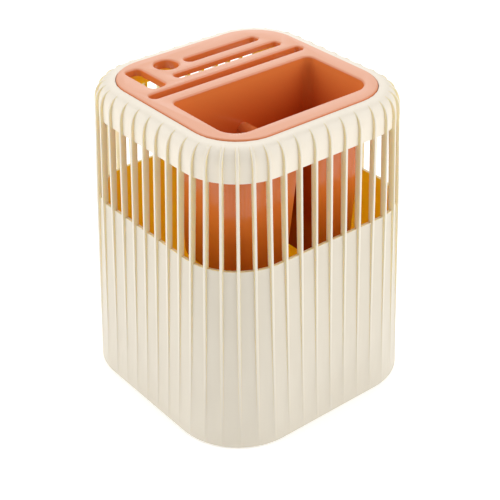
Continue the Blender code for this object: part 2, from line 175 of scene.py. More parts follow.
@dataclass(frozen=True)
class MouldedPlastic:
    """An injection-moulded plastic: a soft sheen over a fine grain, a little uneven in colour.

    A plastic with a second colour fades into it with the tilt of its faces or with their height, as
    painted light and shade. The grain of a real mould is too fine to show here, so it is drawn coarser.
    """

    name: str
    colour: str
    deep_colour: str
    roughness: float
    grain_mm: float
    grain_depth_mm: float
    flow_mm: float = 28.0
    ior: float = 1.5
    glow: float = 0.0
    glow_mm: Point = (4.0, 2.2, 0.6)
    second_colour: str = ""
    second_roughness: float = 0.0
    fade: Fade = Fade.TILT
    fade_span: tuple[float, float] = (0.3, 0.97)

    FLOW_DETAIL = 3.0
    GRAIN_DETAIL = 2.0
    GRAIN_STRENGTH = 0.5
    SHEEN_SWING = 0.05

    def material(self) -> Material:
        """Make the plastic's material.

        Returns:
            The new material.
        """
        made, tree, shader = blank(self.name)
        set_values(shader, {"IOR": self.ior})
        if self.glow:
            set_values(shader, {"Subsurface Weight": self.glow, "Subsurface Radius": self.glow_mm,
                                "Subsurface Scale": MM})
        place = add_node(tree, "ShaderNodeTexCoord", {}, {})
        spot = {"Vector": place.outputs["Object"]}
        blotches = {"Scale": 1 / (self.flow_mm * MM), "Detail": self.FLOW_DETAIL}
        flow = add_node(tree, "ShaderNodeTexNoise", blotches, spot).outputs["Fac"]
        tones = {"data_type": "RGBA", MixIn.COLOUR_A: linear(self.colour),
                 MixIn.COLOUR_B: linear(self.deep_colour)}
        colour = add_node(tree, "ShaderNodeMix", tones, {MixIn.SHARE: flow}).outputs[MixOut.COLOUR]
        swing = {"To Min": self.roughness - self.SHEEN_SWING, "To Max": self.roughness + self.SHEEN_SWING}
        roughness = add_node(tree, "ShaderNodeMapRange", swing, {"Value": flow}).outputs["Result"]
        # Painted light and shade: the second colour fades in with the faces' tilt or their height
        if self.second_colour:
            source = {"Vector": place.outputs[self.fade.value]}
            upward = add_node(tree, "ShaderNodeSeparateXYZ", {}, source).outputs["Z"]
            span = {"From Min": self.fade_span[0], "From Max": self.fade_span[1]}
            fading = add_node(tree, "ShaderNodeMapRange", span, {"Value": upward})
            share = fading.outputs["Result"]
            second = {"data_type": "RGBA", MixIn.COLOUR_B: linear(self.second_colour)}
            colour = add_node(tree, "ShaderNodeMix", second,
                              {MixIn.SHARE: share, MixIn.COLOUR_A: colour}).outputs[MixOut.COLOUR]
            roughness = add_node(tree, "ShaderNodeMix", {MixIn.FLOAT_B: self.second_roughness},
                                 {MixIn.SHARE: share, MixIn.FLOAT_A: roughness}).outputs[MixOut.FLOAT]
        tree.links.new(colour, shader.inputs["Base Color"])
        tree.links.new(roughness, shader.inputs["Roughness"])
        grain = add_node(tree, "ShaderNodeTexNoise",
                         {"Scale": 1 / (self.grain_mm * MM), "Detail": self.GRAIN_DETAIL}, spot)
        bump = add_node(tree, "ShaderNodeBump",
                        {"Strength": self.GRAIN_STRENGTH, "Distance": self.grain_depth_mm * MM},
                        {"Height": grain.outputs["Fac"]})
        tree.links.new(bump.outputs["Normal"], shader.inputs["Normal"])
        return made


# ABS from a spark-eroded mould: a satin cream, with painted light making it paler towards the open top
CREAM = MouldedPlastic("cream_abs", "DDD5C5", "D8CFBE", roughness=0.42, grain_mm=0.5, grain_depth_mm=0.02,
                       second_colour="EDE4D4", second_roughness=0.42, fade=Fade.HEIGHT,
                       fade_span=(0.12, 0.178))
# The same ABS on the fronts of the ribs, with painted light: paler higher up, where they stand further
# out
CREAM_RIB = replace(CREAM, name="cream_abs_rib", second_colour="ECE4D5", fade_span=(0.015, 0.1))
# The same ABS where thin, at rib flanks and window edges: painted tan shade, with light glowing through
CREAM_EDGE = replace(CREAM, name="cream_abs_edge", colour="EADEB8", deep_colour="E6D9B0", roughness=0.5,
                     glow=1.0, glow_mm=(1.8, 1.6, 1.1), second_colour="DDD5C5", fade_span=(0.07, 0.01))
# The same ABS inside the shell: painted golden shade and bounce light, with light glowing through the
# walls
CREAM_INSIDE = replace(CREAM, name="cream_abs_inside", colour="F5CD4A", deep_colour="F1C540",
                       roughness=0.5, glow=1.0, glow_mm=(10.0, 6.0, 0.5), second_colour="")
# Polypropylene from a polished mould: glossy walls whose colour deepens further down with painted shade
CORAL_TUB = MouldedPlastic("coral_polished", "E07D40", "DC773A", roughness=0.16, grain_mm=0.8,
                           grain_depth_mm=0.004, flow_mm=40.0, second_colour="E0762A",
                           second_roughness=0.16, fade=Fade.HEIGHT, fade_span=(0.165, 0.125))
# The same polypropylene inside the tub, reddening towards the floor with painted shade where light
# bounces from wall to wall
CORAL_INSIDE = replace(CORAL_TUB, name="coral_inside", colour="EE8B48", deep_colour="EA8540",
                       second_colour="C8480C", fade_span=(0.196, 0.157))
# The same polypropylene on the plate, its upper face grained; painted sheen makes faces paler the more
# they face up
CORAL_PLATE = replace(CORAL_TUB, name="coral_grained", colour="E48043", deep_colour="E07A3C",
                      roughness=0.2, grain_mm=0.5, grain_depth_mm=0.01, second_colour="E2A383",
                      second_roughness=0.36, fade=Fade.TILT, fade_span=(0.1, 0.99))
# ABS of the turntable: plain and dull
PALE = MouldedPlastic("pale_abs", "DCD4C4", "D6CDBB", roughness=0.5, grain_mm=0.7, grain_depth_mm=0.03)
# Moulded rubber: dull, with a fine sandy grain
RUBBER = MouldedPlastic("grey_rubber", "4A4845", "42403D", roughness=0.78, grain_mm=0.4,
                        grain_depth_mm=0.05)


@dataclass(frozen=True)
class BrightSteel:
    """Drawn steel, bright zinc plated: a soft mirror, a little uneven, drawn coarser than it is."""

    name: str = "bright_steel"
    colour: str = "C8C8C6"
    roughness: float = 0.24
    scratch_mm: float = 0.3

    DETAIL = 2.0
    SHEEN_SWING = 0.08

    def material(self) -> Material:
        """Make the steel's material.

        Returns:
            The new material.
        """
        made, tree, shader = blank(self.name)
        set_values(shader, {"Base Color": linear(self.colour), "Metallic": 1.0})
        place = add_node(tree, "ShaderNodeTexCoord", {}, {})
        scratch = add_node(tree, "ShaderNodeTexNoise",
                           {"Scale": 1 / (self.scratch_mm * MM), "Detail": self.DETAIL},
                           {"Vector": place.outputs["Object"]})
        swing = {"To Min": self.roughness - self.SHEEN_SWING, "To Max": self.roughness + self.SHEEN_SWING}
        sheen = add_node(tree, "ShaderNodeMapRange", swing, {"Value": scratch.outputs["Fac"]})
        tree.links.new(sheen.outputs["Result"], shader.inputs["Roughness"])
        return made


def pick(piece: Piece) -> None:
    """Select one piece alone and make it active.

    Args:
        piece: The piece.
    """
    bpy.ops.object.select_all(action="DESELECT")
    bpy.context.view_layer.objects.active = piece
    piece.select_set(True)


def loft(name: str, rings: list[Ring]) -> Piece:
    """Model a closed skin over rings of equal length, by extruding a filled circle from ring to ring.

    Args:
        name: The piece's name.
        rings: The rings in order; each holds the same number of points.

    Returns:
        The new object, at the origin.
    """
    bpy.ops.object.select_all(action="DESELECT")
    bpy.ops.mesh.primitive_circle_add(vertices=len(rings[0]), radius=MM, fill_type="NGON")
    piece = bpy.context.active_object
    piece.name = piece.data.name = name
    column = piece.data.attributes.new("column", "INT", "POINT")
    column.data.foreach_set("value", list(range(len(rings[0]))))
    bpy.ops.object.mode_set(mode="EDIT")
    bpy.ops.mesh.select_all(action="SELECT")
    settle(piece, rings[0])
    for ring in rings[1:]:
        bpy.ops.mesh.extrude_region_move()
        settle(piece, ring)
    bpy.ops.mesh.select_all(action="SELECT")
    bpy.ops.mesh.normals_make_consistent(inside=False)
    bpy.ops.object.mode_set(mode="OBJECT")
    return piece


def settle(piece: Piece, ring: Ring) -> None:
    """Move each selected vertex to its column's point on a ring.

    Args:
        piece: The piece, in edit mode.
        ring: A point for each column.
    """
    mesh = bmesh.from_edit_mesh(piece.data)
    column = mesh.verts.layers.int["column"]
    for vertex in mesh.verts:
        if vertex.select:
            vertex.co = ring[vertex[column]]
    bmesh.update_edit_mesh(piece.data)


def spin(name: str, profile: list[Plan], steps: int, place: Plan = (0.0, 0.0),
         phase: float = 0.0) -> Piece:
    """Turn a profile about an upright axis.

    Args:
        name: The piece's name.
        profile: Points of (radius, height) from the top of the axis to its bottom, or round a ring.
        steps: How many facets go round.
        place: Where the axis stands.
        phase: The share of a facet by which the first corner is turned on.

    Returns:
        The new object, at the origin.
    """
    rings = []
    closed = profile[0][0] > 0
    turns = [math.tau * (i + phase) / steps for i in range(steps)]
    for radius, height in profile + profile[:1] * closed:
        reach = max(radius, POLE)
        circle = [(reach * math.cos(t), reach * math.sin(t)) for t in turns]
        rings.append([(place[0] + x, place[1] + y, height) for x, y in circle])
    piece = loft(name, rings)
    if closed:
        weld_ring(piece)
    return piece


def weld_ring(piece: Piece) -> None:
    """Remove the two caps of a ring-shaped loft and merge its first and last rings.

    Args:
        piece: The loft, whose caps are its only faces with more than four corners.
    """
    pick(piece)
    bpy.ops.object.mode_set(mode="EDIT")
    mesh = bmesh.from_edit_mesh(piece.data)
    for face in mesh.faces:
        face.select_set(len(face.verts) > 4)
    bmesh.update_edit_mesh(piece.data)
    bpy.ops.mesh.delete(type="FACE")
    bpy.ops.mesh.select_all(action="SELECT")
    bpy.ops.mesh.remove_doubles(threshold=WELD)
    bpy.ops.mesh.normals_make_consistent(inside=False)
    bpy.ops.object.mode_set(mode="OBJECT")


def filleted(corners: list[Point]) -> list[Plan]:
    """Round the corners of a profile.

    Args:
        corners: (radius, height, fillet) of each corner in order; a fillet of zero leaves it sharp.

    Returns:
        The profile's points.
    """
    points = []
    for i, (radius, height, fillet) in enumerate(corners):
        here = Vector((radius, height))
        if not fillet:
            points.append((radius, height))
            continue
        before = (Vector(corners[i - 1][:2]) - here).normalized()
        after = (Vector(corners[(i + 1) % len(corners)][:2]) - here).normalized()
        half = before.angle(after) / 2
        centre = here + (before + after).normalized() * fillet / math.sin(half)
        start = here + before * fillet / math.tan(half) - centre
        end = here + after * fillet / math.tan(half) - centre
        for step in range(FILLET_STEPS + 1):
            points.append(tuple(centre + start.slerp(end, step / FILLET_STEPS) * fillet))
    return points


def repeat(first: Piece, count: int) -> list[Piece]:
    """Copy a piece round the turning axis, each copy with its own mesh.

    Args:
        first: The finished piece, whose name ends in 1.
        count: How many there are in all.

    Returns:
        All the pieces, in order.
    """
    pieces = [first]
    for i in range(1, count):
        piece = first.copy()
        piece.data = first.data.copy()
        piece.name = piece.data.name = first.name[:-1] + str(i + 1)
        piece.data.transform(Matrix.Rotation(math.tau * i / count, 4, "Z"))
        bpy.context.scene.collection.objects.link(piece)
        pieces.append(piece)
    return pieces


def quarter_arc(steps: int) -> list[Plan]:
    """Return the (cosine, sine) of evenly spaced turns through a quarter of a circle."""
    turns = [QUARTER * step / steps for step in range(steps + 1)]
    return [(max(0.0, math.cos(turn)), math.sin(turn)) for turn in turns]


def on_circle(radius: float, count: int, start: float = 0.0) -> list[Plan]:
    """Return evenly spaced plan points on a circle about the turning axis."""
    turns = [start + math.tau * i / count for i in range(count)]
    return [(radius * math.cos(turn), radius * math.sin(turn)) for turn in turns]


def drill(target: Piece, radius: float, low: float, high: float, place: Plan) -> None:
    """Cut an upright round hole, its facets turned half a step so that none meets the piece's edges."""
    profile = [(0.0, high), (radius, high), (radius, low), (0.0, low)]
    combine(target, spin("drill", profile, BORE_STEPS, place, phase=0.5), Operation.CUT)


def combine(target: Piece, tool: Piece, operation: Operation) -> None:
    """Apply a Boolean and delete its tool, whose material goes onto the faces that it leaves.

    Args:
        target: The piece that is changed.
        tool: The piece that is added or cut away.
        operation: Which of the two.
    """
    pick(target)
    step = target.modifiers.new("combine", "BOOLEAN")
    step.operation = operation.value
    step.object = tool
    if tool.data.materials:
        step.material_mode = "TRANSFER"
    bpy.ops.object.modifier_apply(modifier=step.name)
    bpy.data.objects.remove(tool, do_unlink=True)


def smooth(piece: Piece, degrees: float) -> None:
    """Shade a piece smooth, with edges sharper than an angle kept crisp."""
    pick(piece)
    bpy.ops.object.shade_smooth_by_angle(angle=math.radians(degrees))


def hand_over(piece: Piece, body: str, nodes: list[str]) -> None:
    """Let a finished piece ride on its body and stand for its CAD nodes.

    Args:
        piece: The piece.
        body: The body that carries it.
        nodes: The CAD nodes that it replaces.
    """
    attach(piece, body)
    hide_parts(*nodes)
    log.info("%s: %d faces, rides on %s", piece.name, len(piece.data.polygons), body)


def rounded(half_x: float, half_y: float, radii: list[float], centre: Plan, height: float,
            steps: int) -> Ring:
    """Return a ring round a rectangle with round corners.

    Args:
        half_x: Half its size along X.
        half_y: Half its size along Y.
        radii: Corner radii: front-right, back-right, back-left, front-left.
        centre: Its middle in plan.
        height: Its level.
        steps: Facets in each corner.

    Returns:
        The points, anticlockwise.
    """
    ring = []
    for quarter, (sx, sy) in enumerate(((1, -1), (1, 1), (-1, 1), (-1, -1))):
        radius = radii[quarter]
        for step in range(steps + 1):
            turn = QUARTER * (quarter - 1 + step / steps)
            x = centre[0] + sx * (half_x - radius) + radius * math.cos(turn)
            y = centre[1] + sy * (half_y - radius) + radius * math.sin(turn)
            ring.append((x, y, height))
    return ring


@dataclass
class RibbedShell:
    """The cream shell: a drafted rounded square with upright ribs, windows and a rolled shoulder."""

    half: float
    foot: float
    top: float
    corner: float = 44.0 * MM
    draft: float = math.radians(2.05)
    roll_width: float = 12.3 * MM
    roll_height: float = 18.0 * MM
    roll_power: float = 2.95
    rim_corner: float = 29.8 * MM
    head_draw: float = 0.37
    throat_share: float = 1 / 3
    throat_draw: float = 2 / 3
    throat_power: float = 0.6
    ribs: int = 52
    rib_width: float = 1.6 * MM
    rib_taper: float = 0.25 * MM
    rib_round: float = 0.4 * MM
    recess_at_sill: float = 1.6 * MM
    recess_at_head: float = 2.0 * MM
    wall: float = 2.0 * MM
    skirt_wall: float = 2.6 * MM
    foot_round: float = 0.8 * MM
    window_height: float = 54.7 * MM
    window_band: float = 19.8 * MM
    rebate: float = 1.8 * MM
    ledge: float = 2.2 * MM
    ledge_thickness: float = 1.6 * MM
    floor_bottom: float = 11.7 * MM
    floor_thickness: float = 2.5 * MM
    floor_round: float = 4.0 * MM
    bosses: int = 4
    boss_radius: float = 4.0 * MM
    boss_height: float = 6.0 * MM
    boss_round: float = 0.5 * MM
    boss_bore: float = 1.8 * MM
    boss_bore_top: float = 15.7 * MM
    boss_circle: float = 63.9 * MM
    foot_steps: int = 4
    wall_steps: int = 4
    roll_steps: int = 14
    throat_steps: int = 5
    floor_steps: int = 3

    # Points across a rib and its panel, and the faces between them that are flanks and fronts
    COLUMNS = 9
    EDGE_COLUMNS = ({0, 1}, {6, 7}, {0}, {7})
    FRONT_COLUMNS = ({2, 3}, {3, 4}, {4, 5})
    RIB_DEPTH = 0.7
    RIB_EASE = 0.3
    FACING = 0.5
    LEVEL = 0.9
    CORNER_PASSES = 8
    PANE_SLACK = 0.1
    CRISP_DEGREES = 38

    @property
    def head(self) -> float:
        """Return the level of the windows' upper edge."""
        return self.top - self.window_band

    @property
    def sill(self) -> float:
        """Return the level of the windows' lower edge."""
        return self.head - self.window_height

    @property
    def floor_top(self) -> float:
        """Return the level of the floor's upper face."""
        return self.floor_bottom + self.floor_thickness

    @property
    def rim_inset(self) -> float:
        """Return how far the rim's flats stand in from the foot."""
        return self.drafted(self.top - self.roll_height) + self.roll_width

    def drafted(self, height: float) -> float:
        """Return how far the straight wall has come in at a height."""
        return (height - self.foot) * math.tan(self.draft)

    def build(self) -> Piece:
        """Model the shell and open its windows.

        Returns:
            The shell's object.
        """
        levels = self.outer_levels() + self.shoulder_levels() + self.inner_levels()
        shell = loft("shell", [self.ring(*level) for level in levels])
        self.open_windows(shell)
        return shell

    def add_bosses(self, shell: Piece) -> None:
        """Stand the screw bosses on the floor and drill them.

        Args:
            shell: The dressed shell.
        """
        low = self.floor_bottom + self.floor_thickness / 2
        high = self.floor_top + self.boss_height
        start = self.floor_bottom - self.floor_thickness
        corners = [(0.0, high, 0.0), (self.boss_radius, high, self.boss_round),
                   (self.boss_radius, low, 0.0), (0.0, low, 0.0)]
        places = on_circle(self.boss_circle, self.bosses, QUARTER / 2)
        for place in places:
            combine(shell, spin("boss", filleted(corners), BORE_STEPS, place), Operation.ADD)
        for place in places:
            drill(shell, self.boss_bore, start, self.boss_bore_top, place)
        smooth(shell, self.CRISP_DEGREES)

    def dress(self, shell: Piece, finishes: tuple[MouldedPlastic, ...]) -> None:
        """Give the shell its finishes, which paint light and shade: paler towards the top and up the rib
        fronts, tan on flanks and sills, golden inside.

        Args:
            shell: The shell, before its bosses are added.
            finishes: A finish for each side, in the order of ShellSide.
        """
        for finish in finishes:
            shell.data.materials.append(finish.material())
        column = shell.data.attributes["column"].data
        for face in shell.data.polygons:
            columns = {column[i].value % self.COLUMNS for i in face.vertices}
            face.material_index = self.side(face, columns)

    def side(self, face: bpy.types.MeshPolygon, columns: set[int]) -> ShellSide:
        """Tell which side of the shell a face is on.

        Args:
            face: The face.
            columns: Where its corners lie across a rib and its panel.

        Returns:
            The side.
        """
        low = self.floor_bottom + self.floor_thickness / 2
        high = self.top - self.rebate - self.ledge_thickness / 2
        centre = face.center
        inward = face.normal.xy.dot(centre.xy) < -self.FACING * centre.xy.length
        floor = face.normal.z > self.FACING and centre.z < self.floor_bottom + 2 * self.floor_round
        # Inner walls and floor take the golden painted shade
        if low < centre.z < high and (inward or floor):
            return ShellSide.INSIDE
        # Rib flanks and window jambs take the tan painted shade, and the window sills too
        if columns in self.EDGE_COLUMNS and abs(face.normal.z) < self.LEVEL:
            return ShellSide.EDGE
        if face.normal.z > self.LEVEL and abs(centre.z - self.sill) < MM:
            return ShellSide.EDGE
        # Rib fronts take painted light, paler higher up
        if columns in self.FRONT_COLUMNS and self.foot < centre.z < self.head:
            return ShellSide.RIB
        return ShellSide.OUTSIDE

    def station(self, distance: float) -> tuple[Vector, Vector]:
        """Find a place on the foot's outline.

        Args:
            distance: How far it lies along the outline.

        Returns:
            Its plan point and outward normal.
        """
        flat = 2 * (self.half - self.corner)
        arc = self.corner * QUARTER
        side, along = divmod(distance + flat / 2, flat + arc)
        turn = max(0.0, along - flat) / self.corner
        normal = Vector((math.sin(turn), -math.cos(turn)))
        point = Vector((min(along, flat) - flat / 2, -flat / 2)) + normal * self.corner
        return (Matrix.Rotation(QUARTER * side, 2) @ point, Matrix.Rotation(QUARTER * side, 2) @ normal)

    def section(self, recess: float) -> list[Plan]:
        """Draw one rib across, from its left panel edge to its right one.

        Args:
            recess: How deep the panels lie behind the rib.

        Returns:
            Its points as (offset, depth).
        """
        edge = -self.rib_width / 2
        soft = min(self.rib_round, self.RIB_DEPTH * recess)
        ease = (edge + self.rib_round * self.RIB_EASE, soft * self.RIB_EASE)
        left = [(edge - self.rib_taper, recess), (edge, soft), ease, (edge + self.rib_round, 0.0)]
        return left + [(-offset, depth) for offset, depth in reversed(left)]

    def corner_draw(self, point: Vector, normal: Vector) -> float:
        """Measure how much further than the flats a station comes in to meet the rim's rounder corner.

        Args:
            point: The station's plan point.
            normal: Its outward normal.

        Returns:
            The extra inset.
        """
        rim = self.rim_inset
        axis = self.half - rim - self.rim_corner
        inset = rim
        for _ in range(self.CORNER_PASSES):
            place = point - normal * inset
            reach = math.hypot(max(abs(place.x) - axis, 0.0), max(abs(place.y) - axis, 0.0))
            inset += reach - self.rim_corner
        return inset - rim

    def ring(self, height: float, inset: float, recess: float, draw: float = 0.0) -> Ring:
        """Return the ring of all ribs and panels at a height.

        Args:
            height: The ring's level.
            inset: How far its ribs stand in from the foot's outline.
            recess: How deep its panels lie behind its ribs.
            draw: The share of the way from the wall's own corner to the rounder corner of the rim.

        Returns:
            The points, anticlockwise.
        """
        flat = 2 * (self.half - self.corner)
        pitch = (4 * flat + math.tau * self.corner) / self.ribs
        section = self.section(recess)
        ring = []
        for i in range(self.ribs):
            point, normal = self.station(i * pitch)
            tangent = Vector((-normal.y, normal.x))
            base = inset + draw * self.corner_draw(point, normal)
            places = [point + tangent * across - normal * (base + depth) for across, depth in section]
            middle, outward = self.station((i + 0.5) * pitch)
            base = inset + draw * self.corner_draw(middle, outward)
            places.append(middle - outward * (base + recess))
            ring.extend((place.x, place.y, height) for place in places)
        return ring

    def outer_levels(self) -> list[tuple[float, ...]]:
        """List the rings from under the floor, round the foot and up the wall to the windows' heads.

        Returns:
            (height, inset, recess, draw) of each.
        """
        levels = [(self.floor_bottom, self.skirt_wall, 0.0), (self.foot, self.skirt_wall, 0.0)]
        for out, up in quarter_arc(self.foot_steps):
            levels.append((self.foot + self.foot_round * (1 - out), self.foot_round * (1 - up), 0.0))
        for step in range(1, self.wall_steps + 1):
            share = step / self.wall_steps
            height = self.foot + (self.sill - self.foot) * share
            levels.append((height, self.drafted(height), self.recess_at_sill * share))
        levels.append((self.head, self.drafted(self.head), self.recess_at_head, self.head_draw))
        return levels

    def shoulder_levels(self) -> list[tuple[float, ...]]:
        """List the rings over the rolled shoulder, where the ribs fade out.

        Returns:
            (height, inset, recess, draw) of each.
        """
        levels = []
        for out, up in quarter_arc(self.roll_steps):
            rise = up ** (2 / self.roll_power)
            lean = out ** (2 / self.roll_power)
            height = self.top - self.roll_height + self.roll_height * rise
            inset = self.rim_inset - self.roll_width * lean
            levels.append((height, inset, self.recess_at_head * out, 1 - lean * (1 - self.head_draw)))
        return levels

    def inner_levels(self) -> list[tuple[float, ...]]:
        """List the rings from the tray's rebate and ledge down the inside to the floor.

        Returns:
            (height, inset, recess, draw) of each.
        """
        rim = self.rim_inset
        ledge_top = self.top - self.rebate
        ledge_bottom = ledge_top - self.ledge_thickness
        wall_at_head = self.drafted(self.head) + self.recess_at_head + self.wall
        wall_at_sill = self.drafted(self.sill) + self.recess_at_sill + self.wall
        throat = rim - self.roll_width * self.throat_share
        levels = [(ledge_top, rim, 0.0, 1.0), (ledge_top, rim + self.ledge, 0.0, 1.0),
                  (ledge_bottom, rim + self.ledge, 0.0, 1.0)]
        for share, _ in quarter_arc(self.throat_steps):
            inset = wall_at_head + (throat - wall_at_head) * share
            height = self.head + (ledge_bottom - self.head) * share ** self.throat_power
            draw = self.head_draw + (self.throat_draw - self.head_draw) * share
            levels.append((height, inset, 0.0, draw))
        levels.append((self.sill, wall_at_sill, 0.0))
        floor_inset = self.drafted(self.floor_top) + self.skirt_wall
        for out, up in quarter_arc(self.floor_steps):
            height = self.floor_top + self.floor_round * (1 - up)
            levels.append((height, floor_inset + self.floor_round * (1 - out), 0.0))
        return levels

    def open_windows(self, shell: Piece) -> None:
        """Bridge the panes of the outer and inner wall between neighbouring ribs, from sill to head.

        Args:
            shell: The closed shell.
        """
        bpy.ops.object.mode_set(mode="EDIT")
        bpy.ops.mesh.select_mode(type="FACE")
        for pane in range(self.ribs):
            bpy.ops.mesh.select_all(action="DESELECT")
            mesh = bmesh.from_edit_mesh(shell.data)
            column = mesh.verts.layers.int["column"]
            for face in [face for face in mesh.faces if self.is_pane(face, column, pane)]:
                face.select_set(True)
            bmesh.update_edit_mesh(shell.data)
            bpy.ops.mesh.bridge_edge_loops()
        bpy.ops.mesh.select_all(action="SELECT")
        bpy.ops.mesh.normals_make_consistent(inside=False)
        bpy.ops.object.mode_set(mode="OBJECT")

    def is_pane(self, face: bmesh.types.BMFace, column: bmesh.types.BMLayerItem, pane: int) -> bool:
        """Tell whether a face is part of one window's pane, on the outer or the inner wall.

        Args:
            face: The face.
            column: The layer that numbers the columns.
            pane: The window's number.

        Returns:
            True for a face of that pane.
        """
        heights = [vertex.co.z for vertex in face.verts]
        span = max(heights) - min(heights)
        if len(heights) != 4 or abs(span - self.window_height) > self.PANE_SLACK * self.window_height:
            return False
        middle = pane * self.COLUMNS + self.COLUMNS - 1
        return max(heights) < self.head + WELD and middle in {vertex[column] for vertex in face.verts}


@dataclass(frozen=True)
class Opening:
    """A slot or hole of the tray: its middle, half sizes, corner radius and the depth of its skirt."""

    centre: Plan
    half_x: float
    half_y: float
    corner: float
    skirt: float

    def ring(self, height: float, grow: float, steps: int) -> Ring:
        """Return a ring round the opening, grown on every side."""
        radii = [self.corner + grow] * 4
        return rounded(self.half_x + grow, self.half_y + grow, radii, self.centre, height, steps)


@dataclass
class InsertTray:
    """The coral tray: a flat plate with a tub, three knife slots, a round hole and a rectangular one."""

    half: float
    top: float
    tub_bottom: float
    corner: float = 29.4 * MM
    thickness: float = 2.5 * MM
    edge: float = 1.0 * MM
    wall: float = 1.8 * MM
    lip: float = 1.4 * MM
    lip_flare: float = 1.6
    overcut: float = 0.3 * MM
    knife_zone: float = 59.3 * MM
    tub_margin: float = 10.9 * MM
    tub_draft: float = math.radians(2.2)
    front_corner: float = 12.5 * MM
    back_corner: float = 5.5 * MM
    floor_round: float = 9.5 * MM
    fold_drop: float = 29.0 * MM
    fold_half: float = 5.2 * MM
    fold_round: float = 5.0 * MM
    crest_round: float = 3.2 * MM
    fold_draft: float = math.radians(5.2)
    slot_width: float = 7.2 * MM
    slot_skirts: tuple[float, ...] = (4.8 * MM, 3.9 * MM, 4.8 * MM)
    slot_first: float = 12.3 * MM
    slot_pitch: float = 14.65 * MM
    slot_margins: tuple[Plan, ...] = (
        (4.2 * MM, 4.5 * MM),
        (32.5 * MM, 10.5 * MM),
        (51.0 * MM, 16.5 * MM),
    )
    steel_radius: float = 7.5 * MM
    steel_place: Plan = (40.0 * MM, 15.2 * MM)
    steel_skirt: float = 6.0 * MM
    shears_half: Plan = (5.5 * MM, 15.2 * MM)
    shears_place: Plan = (18.8 * MM, 23.6 * MM)
    shears_corner: float = 4.0 * MM
    shears_skirt: float = 4.8 * MM
    steps: int = 14
    edge_steps: int = 5
    lip_steps: int = 7
    floor_steps: int = 8

    CRISP_DEGREES = 30

    @property
    def tub_back(self) -> float:
        """Return where the tub's back edge lies."""
        return self.half - self.knife_zone

    def build(self, outside: MouldedPlastic, inside: MouldedPlastic) -> Piece:
        """Model the tray as one moulding.

        Args:
            outside: The finish of the plate's underside and the tub's outside.
            inside: The finish of the tub's inside.

        Returns:
            The tray's object.
        """
        bottom = self.top - self.thickness
        plate = [self.plate_ring(bottom, 0.0)]
        for out, up in quarter_arc(self.edge_steps):
            plate.append(self.plate_ring(self.top - self.edge * (1 - up), self.edge * (1 - out)))
        tray = loft("tray", plate)
        skin = outside.material()
        tray.data.materials.append(skin)
        middle = bottom + self.thickness / 3
        for opening in self.openings():
            levels = (self.top - opening.skirt, middle)
            rings = [opening.ring(level, self.wall, self.steps) for level in levels]
            combine(tray, loft("skirt", rings), Operation.ADD)
        tub = self.tub_rings(self.tub_bottom, self.wall, self.floor_round)
        combine(tray, loft("tub_outside", tub + [self.tub_ring(middle, self.wall)]), Operation.ADD)
        self.hollow(tray, skin, inside.material())
        for opening in self.openings():
            levels = [(self.top - opening.skirt - self.lip, 0.0)] + self.lip_levels()
            rings = [opening.ring(level, grow, self.steps) for level, grow in levels]
            combine(tray, loft("bore", rings), Operation.CUT)
        smooth(tray, self.CRISP_DEGREES)
        return tray

    def hollow(self, tray: Piece, skin: Material, deep: Material) -> None:
        """Hollow the tub and the fold across it.

        Args:
            tray: The tray with a solid tub.
            skin: The material of the fold's upper side.
            deep: The material of the tub's inside and of the fold's gap.
        """
        lips = [self.tub_ring(level, grow) for level, grow in self.lip_levels()]
        inner = self.tub_rings(self.tub_bottom + self.wall, 0.0, self.floor_round - self.wall)
        inside = loft("tub_inside", inner + lips)
        inside.data.materials.append(deep)
        # The fold's upper side takes the outer finish, lighter there than the inside's painted shade:
        # painted light on the crest
        fold = self.fold("fold_outside", self.wall)
        fold.data.materials.append(skin)
        combine(inside, fold, Operation.CUT)
        combine(tray, inside, Operation.CUT)
        gap = self.fold("fold_hollow", 0.0)
        gap.data.materials.append(deep)
        combine(tray, gap, Operation.CUT)

    def dress(self, tray: Piece, plate: MouldedPlastic) -> None:
        """Give the plate's upper face, the lips and its edge their finish, whose painted sheen pales
        faces that look up.

        Args:
            tray: The finished tray.
            plate: The finish.
        """
        tray.data.materials.append(plate.material())
        for face in tray.data.polygons:
            reach = max(map(abs, face.center.xy))
            above = face.center.z > self.top - self.lip
            outer = face.center.z > self.top - self.thickness and reach > self.half - self.edge
            if above or outer:
                face.material_index = len(tray.data.materials) - 1

    def plate_ring(self, height: float, inset: float) -> Ring:
        """Return a ring round the plate."""
        half = self.half - inset
        return rounded(half, half, [self.corner - inset] * 4, (0.0, 0.0), height, self.steps)

    def openings(self) -> list[Opening]:
        """List the slots and holes.

        Returns:
            The three slots, the round hole and the rectangular one.
        """
        openings = []
        for i, (left, right) in enumerate(self.slot_margins):
            x0, x1 = -self.half + left, self.half - right
            centre = ((x0 + x1) / 2, self.tub_back + self.slot_first + i * self.slot_pitch)
            half = self.slot_width / 2
            openings.append(Opening(centre, (x1 - x0) / 2 - self.lip, half, half, self.slot_skirts[i]))
        steel = (-self.half + self.steel_place[0], self.half - self.steel_place[1])
        openings.append(Opening(steel, *[self.steel_radius] * 3, self.steel_skirt))
        shears = (-self.half + self.shears_place[0], self.half - self.shears_place[1])
        openings.append(Opening(shears, *self.shears_half, self.shears_corner, self.shears_skirt))
        return openings

    def lip_levels(self) -> list[Plan]:
        """Draw the round lip of an opening, from inside the plate to just above it.

        Returns:
            Its (height, growth) points.
        """
        arc = quarter_arc(self.lip_steps)[:-1]
        levels = [(self.top - self.lip * (1 - up), self.lip * (1 - out)) for out, up in arc]
        return levels + [(self.top + self.overcut, self.lip * self.lip_flare)]

